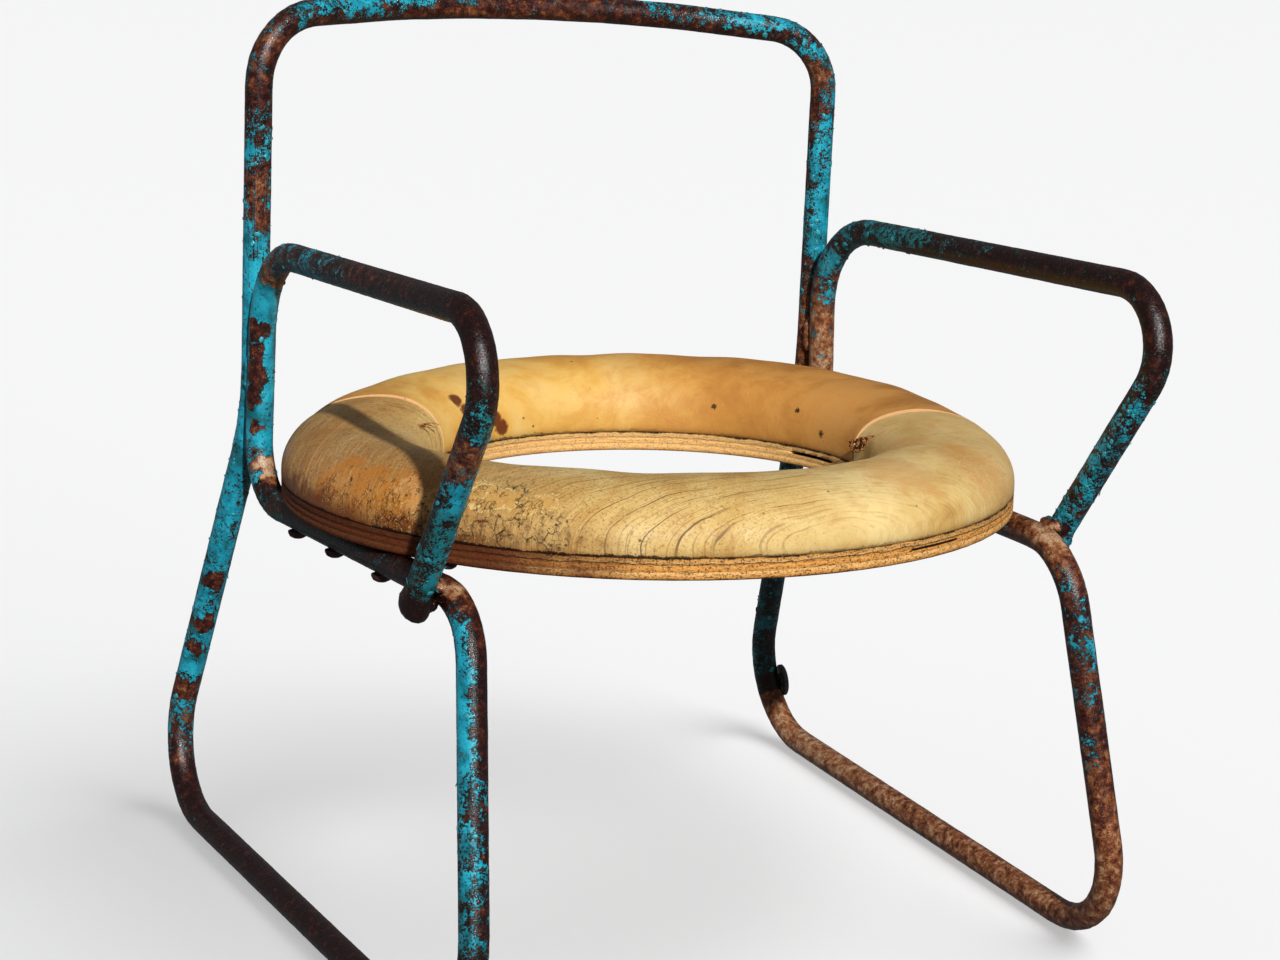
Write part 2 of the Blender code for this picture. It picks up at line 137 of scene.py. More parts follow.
# The curled chips of paint: thickness, smallest and largest size and curl, and the wear they sit on
FLAKE_THICKNESS = 0.00016
FLAKE_SIZES = (0.0014, 0.0038)
FLAKE_CURLS = (0.0004, 0.0013)
FLAKE_WEAR = (0.25, 0.9)
FLAKE_MARK = (0.38, 0.3, 0.0, 1.0)
# Sides where the paint has held or gone: (middle and reach in millimetres, direction it favours, strength)
LEANS = (
    ((-189, -178, 202), 52, (-1.0, 0.2, 0.0), 0.95),
    ((-196, -205, 100), 90, (-1.0, 0.2, 0.0), 0.3),
    ((-193, 134, 330), 80, (-1.0, -0.4, 0.0), 0.22),
    ((-100, 160, 512), 90, (0.0, -0.3, 1.0), 0.45),
    ((120, 160, 500), 90, (0.0, -0.3, 1.0), 0.35),
    ((190, 144, 400), 80, (1.0, -0.8, 0.0), 0.3),
    ((-203, -170, 290), 80, (0.3, -1.0, -0.3), 0.25),
)
# Bare and filled places: (x, y, z and reach in millimetres, change of paint, change of tone)
PATCHES = (
    (-201, 112.8, 327, 8.5, -1, 0.05), (-202, 113.6, 317, 8, -1, 0.05), (-202.5, 113.8, 307, 8, -1, 0.05),
    (-202, 113.4, 297, 8.5, -1, 0.05), (-202.6, 113.8, 287, 8, -1, 0), (-201.6, 112.3, 268, 5.5, -0.7, 0.1),
    (-196, 127.5, 407.4, 9, -0.6, 0.1), (-195, 127.6, 390, 8, -0.9, 0.05), (-201, 130, 368, 5, -0.8, 0.1),
    (-198, 129, 348, 4.5, -0.8, 0.1), (-196, 106.2, 246.8, 8, -0.5, 0.45),
    (-195.5, 99.2, 239.5, 7.5, -0.5, 0.45), (-188.5, -148, 245, 10, -0.9, 0.65),
    (-190, -140, 240, 8, -0.8, 0.5), (-206, -132, 226, 18, -1, -0.3), (-195, -138, 223, 12, -1, -0.2),
    (-206, 169, 160, 8, -0.9, 0.05), (-209, 181, 129, 8, -0.9, 0.1), (-210.5, 188, 110, 7, -0.9, 0.05),
    (-213, 198.5, 81.6, 10, -0.9, 0.1), (172.7, -155.2, 246, 12, -0.6, 0.15), (174, -165, 246, 11, -0.5, 0.15),
)
PATCH_RAGGED = 0.0045
PATCH_SEED = 5

# The tilted seat: ring centre on the underside of its plywood base
SEAT_CENTRE = Vector((0.0023, 0.0045, 0.2396))
SEAT_TILT = math.radians(3.19)
SEAT_PLACE = Matrix.Translation(SEAT_CENTRE) @ Matrix.Rotation(-SEAT_TILT, 4, "X")
SEAT_OUTER = 0.213
SEAT_HOLE = 0.1296
BASE_HEIGHT = 0.0116
# Marks on the planks, in the seat's own frame: (x, y, z, reach) in millimetres
CRACKLED = (
    (-156, -131, 30, 28), (-172, -117, 24, 26), (-196, -72, 22, 26), (-186, -96, 24, 24), (-205, -35, 26, 16),
    (-140, -152, 22, 20),
)
AMBER_SPOTS = ((-207, -30, 30, 24), (-202, -55, 30, 24), (-196, -78, 28, 24), (-190, -98, 24, 20))
BALD_SPOTS = ((-188, -83, 36, 10), (-183, -96, 32, 12))
FILM_SPOTS = (
    (-166, -118, 39.5, 12), (-158, -129, 39, 10), (-150, -137, 38.5, 8.5), (-142, -146, 37, 7),
    (-136.3, -151.7, 35.5, 6),
)
FRONT_STAINS = ((62, -176, 45, 30), (125, -150, 36, 34), (100, -100, 40, 30))
SCORCHES = ((-70, 119.5, 40, 6), (-64, 118, 34, 6), (-58, 118, 29, 5), (-41, 124, 25, 5.5), (-37, 124.2, 20, 6))
KNOTS = ((94.2, 92.2, 29.4, 2.1), (128.8, 19.1, 23.1, 2.6), (171.9, 10.9, 48, 2), (126.4, 43.5, 33.2, 2))
CHALK = ((128, -160, 34, 30),)
# Painted shadow in the open glue joint at the right end, drawn in the grime colour on the back plank: (x, y, z,
# reach) in millimetres
JOINT_GAP_SHADOW = ((127, -60, 37, 17),)
# A pale scratched arc across the left end: the way across it, and how far out it lies in metres
END_ARC_WAY = (-0.7517, 0.6594, 0.0)
END_ARC = 0.1622

# The crowned planks: the film of glue under them, the bevel of their foot, and their crown's lowest rise
GLUE_FILM = 0.0003
FOOT_BEVEL = 0.0006
CROWN_LIP = 0.0030
# Where the crowns are worn: (degrees round, depth, sharpness)
CROWN_WEAR = {
    "front": ((165, 0.100, 6), (-40, 0.100, 4), (145, -0.085, 60), (-16, -0.020, 60)),
    "back": ((-27.5, 0.230, 10), (143, 0.125, 10), (150, 0.070, 60), (-14, 0.015, 60)),
}
CROWN_STEPS = 44
SEAT_STEPS = 240
JOINT_OFFSET = 0.043
JOINT_OPENING = math.radians(0.35)
GRAIN_TURN = math.radians(-27.5)
# Pith of each plank's growth rings and their stretch along the plank, and the stretch of the streaks
PITHS = {"front": ((0.02, 0.20, 0.0), 0.22), "back": ((0.10, -0.42, 0.0), 0.55)}
STREAK_STRETCH = 0.04
# The two splits in the plywood's edge: (middle, half length), (middle, half thickness)
OUTER_SPLIT = ((0.0695, 0.0205), (0.0066, 0.0009))
INNER_SPLIT = ((0.0245, 0.0190), (0.0078, 0.0010))
# Torn fibres: (place, count, spread, length, (tilt, heading), curl, radius) in metres and radians
TUFTS = (
    ((0.1262, -0.0330, 0.0235), 9, 0.0140, 0.0120, (0.45, -1.9), 1.2, 0.00175),
    ((0.1245, -0.0350, 0.0290), 7, 0.0120, 0.0100, (0.60, -1.5), 1.6, 0.00155),
    ((-0.1130, 0.0790, 0.0345), 5, 0.0050, 0.0130, (1.25, -0.5), 0.9, 0.00060),
)
STRAND_STEPS = 7
STRAND_TAPER = 0.86

MERGE_DISTANCE = 1e-5
VIEW_TARGET = Vector((0.0, 0.0, 0.25))
CAMERA_RIGHT = Vector((0.88858, -0.45638, 0.04625))
CAMERA_DOWN = Vector((-0.07648, -0.24680, -0.96605))


def metres(row):
    """Vector in metres from millimetres."""
    return Vector([value / 1000.0 for value in row])


class Wiring:
    """Short calls that add linked shader nodes to one new material; colours go by their setting's name."""

    def __init__(self, name, settings):
        self.settings = settings
        self.material = bpy.data.materials.new(name)
        self.material.use_nodes = True
        self.tree = self.material.node_tree
        self.shader = self.tree.nodes["Principled BSDF"]
        self.place = self.node("ShaderNodeTexCoord").outputs["Object"]

    def node(self, kind, inputs=None, **settings):
        made = self.tree.nodes.new(kind)
        for key, value in settings.items():
            setattr(made, key, value)
        for key, value in (inputs or {}).items():
            self.feed(made.inputs[key], value)
        return made

    def feed(self, socket, value):
        if isinstance(value, bpy.types.NodeSocket):
            self.tree.links.new(value, socket)
        else:
            socket.default_value = value

    def finish(self, **sockets):
        """Set or link the shader's sockets, spaces in their names written as underscores."""
        for key, value in sockets.items():
            self.feed(self.shader.inputs[key.replace("_", " ")], value)
        return self.material

    def math(self, operation, a, b=0.0, c=0.0):
        return self.node("ShaderNodeMath", {0: a, 1: b, 2: c}, operation=operation).outputs[0]

    def times(self, product, *others):
        """Product of sockets and numbers."""
        for other in others:
            product = self.math("MULTIPLY", product, other)
        return product

    def scaled(self, value, amount, base):
        """Base with an amount of a value added."""
        return self.math("MULTIPLY_ADD", value, amount, base)

    def roughened(self, value, ragged, amount):
        """Value pushed up and down by a noise."""
        return self.scaled(self.math("SUBTRACT", ragged, 0.5), amount, value)

    def apart(self, a, b):
        """How far two values are from each other."""
        return self.math("ABSOLUTE", self.math("SUBTRACT", a, b))

    def measure(self, operation, a, b=(0.0, 0.0, 0.0)):
        """Number worked out from one or two vectors."""
        return self.node("ShaderNodeVectorMath", {0: a, 1: b}, operation=operation).outputs["Value"]

    def split(self, vector):
        return self.node("ShaderNodeSeparateXYZ", {0: vector}).outputs

    def map(self, place, location=(0, 0, 0), rotation=(0, 0, 0), scale=(1, 1, 1)):
        sockets = {"Vector": place, "Location": location, "Rotation": rotation, "Scale": scale}
        return self.node("ShaderNodeMapping", sockets).outputs[0]

    def noise(self, place, scale, detail=4.0, roughness=0.55, distortion=0.0):
        sockets = {
            "Vector": place, "Scale": scale, "Detail": detail, "Roughness": roughness,
            "Distortion": distortion,
        }
        return self.node("ShaderNodeTexNoise", sockets).outputs["Fac"]

    def cells(self, place, scale, feature="F1"):
        made = self.node("ShaderNodeTexVoronoi", {"Vector": place, "Scale": scale}, feature=feature)
        return made.outputs["Distance"]

    def band(self, value, low, high, to_low=0.0, to_high=1.0):
        """Smooth step from to_low below low up to to_high above high."""
        sockets = {"Value": value, "From Min": low, "From Max": high, "To Min": to_low, "To Max": to_high}
        return self.node("ShaderNodeMapRange", sockets, interpolation_type="SMOOTHSTEP").outputs[0]

    def tint(self, colour):
        """What a colour socket takes, from a socket, three numbers or a setting's name."""
        if isinstance(colour, bpy.types.NodeSocket):
            return colour
        return (*(getattr(self.settings, colour) if isinstance(colour, str) else colour), 1.0)

    def mix(self, share, a, b):
        """Colour a turned into b by share."""
        sockets = {0: share, 6: self.tint(a), 7: self.tint(b)}
        return self.node("ShaderNodeMix", sockets, data_type="RGBA").outputs[2]

    def coats(self, colour, *layers):
        """Colours laid over one another from (colour, share, ...) rows, whose shares are multiplied."""
        for over, *shares in layers:
            colour = self.mix(self.times(*shares), colour, over)
        return colour

    def ramp(self, value, *stops):
        """Colour by value, through (position, colour) stops."""
        made = self.node("ShaderNodeValToRGB", {0: value})
        points = made.color_ramp.elements
        for position, _ in stops[1:-1]:
            points.new(position)
        for point, (position, colour) in zip(points, stops):
            point.position = position
            point.color = self.tint(colour)
        return made.outputs[0]

    def bump(self, *layers):
        """Normal from (height, strength, distance in metres) layers, one on top of the other."""
        normal = None
        for height, strength, distance in layers:
            sockets = {"Height": height, "Strength": strength, "Distance": distance}
            if normal:
                sockets["Normal"] = normal
            normal = self.node("ShaderNodeBump", sockets).outputs[0]
        return normal

    def spots(self, place, spots, ragged=0.5, amount=0.0):
        """1 at any of the (x, y, z, reach) spots, falling to 0 at its reach; a noise roughens it."""
        total = 0.0
        for *centre, reach in spots:
            gap = self.roughened(self.measure("DISTANCE", place, metres(centre)), ragged, amount)
            reach /= 1000.0
            total = self.math("MAXIMUM", total, self.band(gap, reach, reach * 0.55))
        return total


def add_object(name, data):
    """New object in the scene."""
    thing = bpy.data.objects.new(name, data)
    bpy.context.scene.collection.objects.link(thing)
    return thing


def mesh_from(name, bm, material):
    """Mesh made from a bmesh, which is freed."""
    mesh = bpy.data.meshes.new(name)
    bm.to_mesh(mesh)
    bm.free()
    mesh.materials.append(material)
    return mesh


def add_piece(name, bm, material):
    """Object kept within the loaded box, with its place in its mesh, riding on the chair's one body."""
    low, high = LOADED_BOX
    for vert in bm.verts:
        vert.co = [min(max(value, a), b) for value, a, b in zip(vert.co, low, high)]
    for face in bm.faces:
        face.smooth = True
    piece = add_object(name, mesh_from(name, bm, material))
    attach(piece, "root")
    return piece


# The painted tube

def wear_map():
    """Tree over points down the tube's centre line, and the (paint, rust tone) at each of them."""
    noise.seed_set(PATCH_SEED)
    spots, marks = [], []
    for (side, start, end), rows in WEAR.items():
        a = metres(CORNERS[side][start])
        b = metres(CORNERS["right"]["top"] if end == "right top" else CORNERS[side][end])
        bow = metres(TOP_BOW if end == "right top" else (0, 0, 0))
        shares, paints, tones = np.array(rows).T / ((100.0,), (100.0,), (10.0,))
        for share in np.linspace(0.0, 1.0, RUN_POINTS):
            spots.append(a.lerp(b, share) + bow * (1.0 - (2.0 * share - 1.0) ** 2))
            marks.append((np.interp(share, shares, paints), np.interp(share, shares, tones)))
    tree = KDTree(len(spots))
    for i, spot in enumerate(spots):
        tree.insert(spot, i)
    tree.balance()
    return tree, marks


def wear_at(place, normal, tree, marks):
    """Paint left and rust tone at one place on the tube."""
    paint, tone = marks[tree.find(place)[1]]
    for middle, reach, favoured, strength in LEANS:
        fade = max(0.0, 1.0 - (place - metres(middle)).length * 1000.0 / reach)
        paint += min(1.0, fade * 2.0) * strength * Vector(favoured).normalized().dot(normal)
    ragged = place + noise.noise_vector(place * 150.0) * PATCH_RAGGED
    for *middle, reach, painted, lighter in PATCHES:
        fade = min(1.0, 2.5 * max(0.0, 1.0 - (ragged - metres(middle)).length * 1000.0 / reach))
        paint += fade * painted
        tone += fade * lighter
    return min(max(paint, 0.002), 0.99), min(max(tone, 0.0), 1.0)


def pitting(place):
    """Height of the rust-eaten steel in metres, within a few tenths of a millimetre."""
    broad = noise.noise(place * 90.0)
    fine = noise.noise(place * 310.0)
    return 0.00012 * broad + 0.00009 * fine - 0.00008


def dense_tube(step):
    """Finer copy of the welded tube, rounder than its solid and pitted by rust."""
    bm = bmesh.new()
    bm.from_mesh(NODES["frame_tube"].data)
    bmesh.ops.remove_doubles(bm, verts=bm.verts, dist=MERGE_DISTANCE)
    bmesh.ops.join_triangles(
        bm, faces=bm.faces, angle_face_threshold=math.radians(25.0), angle_shape_threshold=math.radians(50.0)
    )
    while True:
        long_edges = [edge for edge in bm.edges if edge.calc_length() > step * 2.0]
        if not long_edges:
            break
        bmesh.ops.subdivide_edges(bm, edges=long_edges, cuts=1, use_grid_fill=True)
    bm.normal_update()
    coarse = [edge for edge in bm.edges if edge.calc_length() > step * 0.8]
    bmesh.ops.subdivide_edges(bm, edges=coarse, cuts=1, smooth=0.9, use_grid_fill=True)
    bm.normal_update()
    for vert in bm.verts:
        vert.co += vert.normal * pitting(vert.co)
    bm.normal_update()
    return bm


def paint_finish(settings):
    """Turquoise paint flaking off dark and tan rust, whose tan specks are partly painted glints; the wear
    attribute holds the noise level to beat.
    """
    wires = Wiring("peeling_paint", settings)
    place = wires.place
    wear = wires.node("ShaderNodeAttribute", attribute_name="wear").outputs["Color"]
    level, tone = wires.node("ShaderNodeSeparateColor", {0: wear}).outputs[:2]

    broad = wires.noise(place, 85.0, 3.0, 0.5, 0.4)
    ragged = wires.noise(place, 300.0, 5.0, 0.68, 0.9)
    field = wires.scaled(broad, 0.32, wires.times(ragged, 0.40))
    field = wires.scaled(wires.noise(place, 900.0, 3.0, 0.65), 0.28, field)
    over = wires.math("SUBTRACT", field, level)
    pinholes = wires.band(wires.noise(place, 560.0, 4.0, 0.7), 0.600, 0.620, 0.0, -0.2)
    held = wires.math("ADD", over, pinholes)
    stained = wires.band(wires.noise(place, 260.0, 6.0, 0.74, 0.5), 0.60, 0.64)
    fade = wires.noise(place, 60.0, 6.0, 0.68)
    paint = wires.coats(
        wires.ramp(fade, (0.38, "paint_deep"), (0.48, "paint"), (0.58, "paint_bright")),
        ("paint_thin", wires.band(tone, 0.18, 0.06, 0.0, 0.75)),
        ("paint_thin", wires.band(held, 0.026, 0.006), 0.60),
        ("rust", stained, 0.60),
    )

    patch = wires.noise(place, 190.0, 8.0, 0.78, 0.15)
    grit = wires.noise(place, 1150.0, 3.0, 0.7)
    lifted = wires.math("ADD", patch, wires.band(tone, 0.0, 1.0, -0.15, 0.21))
    colour = wires.coats(
        wires.ramp(lifted, (0.38, "rust_dark"), (0.49, "rust"), (0.60, "rust_orange"), (0.72, "rust_tan")),
        # Tan specks on the grit: partly tan rust, partly painted glints.
        ("rust_tan", wires.band(grit, 0.60, 0.70), wires.band(tone, 0.2, 0.8, 0.10, 0.50)),
        ("rust_dark", wires.band(grit, 0.46, 0.38, 0.0, 0.80)),
        ("rust_dark", wires.band(over, -0.014, -0.004), wires.band(over, 0.004, 0.000), 0.8),
        ("paint_thin", wires.band(over, -0.045, -0.014, 0.0, 0.55), wires.band(grit, 0.50, 0.60)),
        (paint, wires.band(held, 0.000, 0.003)),
    )

    pits = wires.scaled(patch, 0.45, wires.times(grit, 0.55))
    rough = wires.band(wires.noise(place, 760.0, 3.0), 0.42, 0.60, 0.34, 0.14)
    normal = wires.bump(
        (pits, 0.36, 0.0009), (wires.band(over, -0.004, 0.010), 0.9, 0.0005), (stained, 0.35, 0.0003),
        (wires.noise(place, 1500.0, 2.0, 0.6), 0.45, 0.0004),
    )
    return wires.finish(
        Base_Color=colour, Roughness=rough, Normal=normal, Metallic=0.0, Specular_IOR_Level=0.42
    )


class CHAIR_OT_painted_tube(bpy.types.Operator):
    """Put the pitted, peeling skin on the bent tube"""
    bl_idname = "chair.painted_tube"
    bl_label = "Painted tube"

    def execute(self, context):
        settings = context.scene.chair_paint
        bm = dense_tube(settings.mesh_step)
        layer = bm.verts.layers.float_color.new("wear")
        tree, marks = wear_map()
        chance = NormalDist(0.5, settings.patchiness)
        for vert in bm.verts:
            paint, tone = wear_at(vert.co, vert.normal, tree, marks)
            vert[layer] = (chance.inv_cdf(1.0 - paint), tone, 0.0, 1.0)
        tube = add_piece("painted_tube", bm, paint_finish(settings))
        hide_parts("frame_tube")
        return {"FINISHED"}


def curled_flake(bm, skin, spot, size, turn, curl):
    """Small ragged chip lying on the tube, with one end peeled up."""
    _, normal, _, _ = skin.find_nearest(spot)
    along = normal.orthogonal().normalized()
    along.rotate(Matrix.Rotation(turn, 3, normal))
    side = normal.cross(along)
    verts = bmesh.ops.create_grid(bm, x_segments=3, y_segments=3, size=0.5)["verts"]
    for vert in verts:
        x, y = vert.co.x, vert.co.y
        ragged = 0.8 + 0.6 * noise.noise(Vector((x * 3.0, y * 3.0, turn * 10.0)))
        target = spot + (along * x * size * 1.4 + side * y * size) * ragged * (1.0 - 2.2 * x * x * y * y)
        hit, out, _, _ = skin.find_nearest(target)
        lift = max(0.0, x + 0.25)
        vert.co = hit + out * (curl * lift ** 2 + FLAKE_THICKNESS * 0.6) - along * curl * 0.4 * lift ** 2
    faces = list({face for vert in verts for face in vert.link_faces})
    grown = bmesh.ops.extrude_face_region(bm, geom=faces)["geom"]
    back = [item for item in grown if isinstance(item, bmesh.types.BMVert)]
    bmesh.ops.translate(bm, verts=back, vec=-normal * FLAKE_THICKNESS)


class CHAIR_OT_paint_flakes(bpy.types.Operator):
    """Scatter small curled chips where the paint is letting go"""
    bl_idname = "chair.paint_flakes"
    bl_label = "Paint flakes"

    def execute(self, context):
        settings = context.scene.chair_paint
        tube = context.scene.objects["painted_tube"].data
        skin = BVHTree.FromPolygons([v.co for v in tube.vertices], [p.vertices for p in tube.polygons])
        tree, marks = wear_map()
        dice = Random(settings.flake_seed)
        bm = bmesh.new()
        left = settings.flakes
        while left:
            vert = tube.vertices[dice.randrange(len(tube.vertices))]
            paint, _ = wear_at(vert.co, vert.normal, tree, marks)
            if FLAKE_WEAR[0] < paint < FLAKE_WEAR[1] and dice.random() < paint:
                size = dice.uniform(*FLAKE_SIZES)
                curl = dice.uniform(*FLAKE_CURLS)
                curled_flake(bm, skin, vert.co.copy(), size, dice.uniform(0.0, math.tau), curl)
                left -= 1
        bmesh.ops.recalc_face_normals(bm, faces=bm.faces)
        layer = bm.verts.layers.float_color.new("wear")
        for vert in bm.verts:
            vert[layer] = FLAKE_MARK
        add_piece("paint_flakes", bm, bpy.data.materials["peeling_paint"])
        return {"FINISHED"}


# The seat

def seat_frame(wires):
    """Object coordinates in the tilted seat's own frame, Z up from its underside."""
    turn = Matrix.Rotation(SEAT_TILT, 3, "X")
    return wires.map(wires.place, location=-(turn @ SEAT_CENTRE), rotation=(SEAT_TILT, 0.0, 0.0))


def ring_field(wires, seat, centre, stretch):
    """Distance from the pith, and coordinates that run along the growth rings."""
    scale = (stretch, 1.0, 0.45)
    rings = wires.map(seat, location=[-c * k for c, k in zip(centre, scale)], scale=scale)
    radius = wires.scaled(wires.noise(seat, 14.0, 3.0, 0.5), 0.010, wires.measure("LENGTH", rings))
    return radius, flow_along(wires, seat, radius)


def flow_along(wires, seat, across):
    """Coordinates that stretch a noise into streaks along the plank."""
    along = wires.times(wires.split(seat)[0], STREAK_STRETCH)
    return wires.node("ShaderNodeCombineXYZ", {0: across, 1: along, 2: 0.0}).outputs[0]


def growth_lines(wires, radius, flow, spacing, width):
    """Thin dark pore lines along the rings, broken up along their length."""
    turns = wires.scaled(wires.noise(flow, 60.0, 2.0), 3.0, wires.math("DIVIDE", radius, spacing))
    line = wires.band(wires.apart(wires.math("FRACT", turns), 0.5), width, width * 0.4)
    return wires.times(line, wires.band(wires.noise(flow, 420.0, 4.0, 0.72), 0.44, 0.54))


def seam_gap(wires, seat):
    """Distance from the glue joint in metres, positive on the back plank's side."""
    across = (-math.sin(GRAIN_TURN), math.cos(GRAIN_TURN), 0.0)
    return wires.math("SUBTRACT", wires.measure("DOT_PRODUCT", seat, across), JOINT_OFFSET)


def ridges(wires, place, scale, width):
    """Wandering thin lines where a noise crosses its middle."""
    return wires.band(wires.apart(wires.noise(place, scale, 5.0, 0.62, 0.9), 0.5), width, width * 0.4)


def crackle(wires, seat, mottle):
    """Broken dark outlines of lifted varnish chips."""
    push = wires.times(mottle, 0.024)
    bent = wires.node("ShaderNodeVectorMath", {0: seat, 1: push}, operation="ADD").outputs[0]
    edges = wires.band(wires.cells(bent, 170.0, "DISTANCE_TO_EDGE"), 0.075, 0.020)
    both = wires.math("MAXIMUM", wires.times(edges, 0.9), ridges(wires, bent, 120.0, 0.010))
    return wires.times(both, wires.band(wires.noise(seat, 120.0, 3.0, 0.6), 0.43, 0.50))


def wood_finish(settings, side):
    """Worn varnish over solid wood: growth rings, pores, grime, stains and crackle, and on the back plank a
    painted shadow in the open joint.
    """
    wires = Wiring(side + "_plank_wood", settings)
    seat = seat_frame(wires)
    x, _, height = wires.split(seat)
    radius, flow = ring_field(wires, seat, *PITHS[side])
    fibres = wires.noise(flow, 1000.0, 5.0, 0.72)
    lines = growth_lines(wires, radius, flow, 0.0058, 0.065)
    mottle = wires.noise(seat, 70.0, 6.0, 0.70, 0.5)
    grit = wires.noise(seat, 700.0, 4.0, 0.72)
    blotch = wires.noise(seat, 15.0, 5.0, 0.6, 0.6)
    layers = [(lines, -0.6, 0.0005), (fibres, 0.30, 0.0004), (grit, 0.35, 0.0006), (mottle, 0.35, 0.0016)]
    if side == "front":
        hairlines = growth_lines(wires, radius, flow, 0.0021, 0.110)
        cracked = wires.spots(seat, CRACKLED, mottle, 0.060)
        cracks = wires.times(crackle(wires, seat, mottle), cracked)
        layers.append((cracks, -1.0, 0.0012))
        wood = front_grain(wires, seat, x, height, (mottle, grit, fibres, blotch), (lines, hairlines))
        wood = front_end(wires, wood, seat, x, height, mottle, grit)
        wood = front_marks(wires, wood, seat, x, mottle, grit, (cracked, cracks))
    else:
        wood = back_marks(wires, seat, x, mottle, grit, fibres, blotch)
    foot = wires.roughened(wires.roughened(height, mottle, 0.006), grit, 0.003)
    dotted = wires.band(wires.scaled(grit, 0.30, x), 0.02, 0.20, 0.95, 0.35)
    wood = wires.coats(
        wood,
        ("grime", wires.band(wires.cells(seat, 62.0), 0.070, 0.030), 0.75),
        ("wood_ring", wires.band(foot, 0.0180, 0.0125, 0.0, 0.30)),
        ("grime", wires.band(foot, 0.0133, 0.0127), dotted),
    )
    rough = wires.scaled(wires.band(mottle, 0.40, 0.62), 0.18, 0.36)
    return wires.finish(Base_Color=wood, Roughness=rough, Normal=wires.bump(*layers), Specular_IOR_Level=0.20)


def front_grain(wires, seat, x, height, noises, rings):
    """Bare wood of the front plank with its growth rings, worn speckle and torn pores."""
    mottle, grit, fibres, blotch = noises
    lines, hairlines = rings
    lowered = wires.scaled(height, -3.0, wires.math("ADD", x, 0.126))
    middle = wires.band(wires.scaled(mottle, 0.12, x), 0.090, -0.010)
    return wires.coats(
        wires.ramp(blotch, (0.34, "wood_deep"), (0.46, "wood"), (0.66, "wood_pale")),
        ("wood_deep", wires.band(mottle, 0.50, 0.64, 0.0, 0.34)),
        ("wood_ring", wires.band(fibres, 0.52, 0.68, 0.0, 0.34)),
        ("wood_pale", wires.band(fibres, 0.46, 0.34, 0.0, 0.40)),
        ("wood_deep", wires.band(wires.scaled(mottle, 0.10, x), 0.130, 0.240, 0.0, 0.30)),
        ("wood_dark", lines, wires.band(lowered, -0.030, 0.055, 0.85, 0.0), wires.band(x, -0.170, -0.110)),
        ("wood_ring", hairlines, wires.band(lowered, 0.0, 0.090, 0.45, 0.08)),
        ("wood_ring", wires.band(grit, 0.52, 0.62), middle, 0.50),
        ("wood_dark", ridges(wires, seat, 75.0, 0.006), middle, 0.45),
    )


def front_end(wires, wood, seat, x, height, mottle, grit):
    """Brown streaks, amber varnish and scorched foot of the front plank's left end."""
    across = wires.measure("DOT_PRODUCT", seat, END_ARC_WAY)
    streaks = wires.noise(flow_along(wires, seat, across), 900.0, 5.0, 0.75)
    end = wires.band(wires.scaled(mottle, 0.10, x), -0.050, -0.140)
    arc = wires.band(wires.apart(across, END_ARC), 0.0009, 0.0004)
    scratch = wires.math("MAXIMUM", arc, wires.band(streaks, 0.62, 0.68, 0.0, 0.6))
    amber = wires.math("POWER", wires.spots(seat, AMBER_SPOTS, mottle, 0.050), 0.6)
    held = wires.times(wires.band(grit, 0.60, 0.48, 0.35, 1.0), wires.band(mottle, 0.60, 0.46, 0.55, 1.0))
    low = wires.band(wires.roughened(height, mottle, 0.050), 0.029, 0.014)
    return wires.coats(
        wood,
        ("wood_brown", end, wires.band(streaks, 0.36, 0.60, 0.45, 1.0), 0.80),
        ("wood_dark", wires.band(grit, 0.54, 0.62, 0.0, 0.55), end),
        ("wood_bald", end, scratch, 0.60),
        ("varnish_amber", amber, held, 0.85),
        ("scorch", low, end, 0.80),
        ("wood_bald", wires.spots(seat, BALD_SPOTS, mottle, 0.050), 0.60),
    )


def front_marks(wires, wood, seat, x, mottle, grit, crackled):
    """Varnish film, crackle, stains, chalky scratches and rubbed joint of the front plank."""
    cracked, cracks = crackled
    film = wires.spots(seat, FILM_SPOTS, mottle, 0.030)
    chalk = wires.spots(seat, CHALK, mottle, 0.06)
    return wires.coats(
        wood,
        ("wood_film", film, 0.75),
        ("wood_pale", wires.band(film, 0.02, 0.15), wires.band(film, 0.55, 0.25), 0.80),
        ("wood_pale", cracked, wires.band(grit, 0.54, 0.62), 0.5),
        ("grime", cracks, 0.95),
        ("wood_stain", wires.spots(seat, FRONT_STAINS, mottle, 0.080), 0.42),
        ("wood_pale", chalk, ridges(wires, seat, 170.0, 0.012), 0.75),
        ("wood_edge", wires.band(seam_gap(wires, seat), -0.0018, -0.0010), wires.band(x, 0.080, 0.110)),
    )


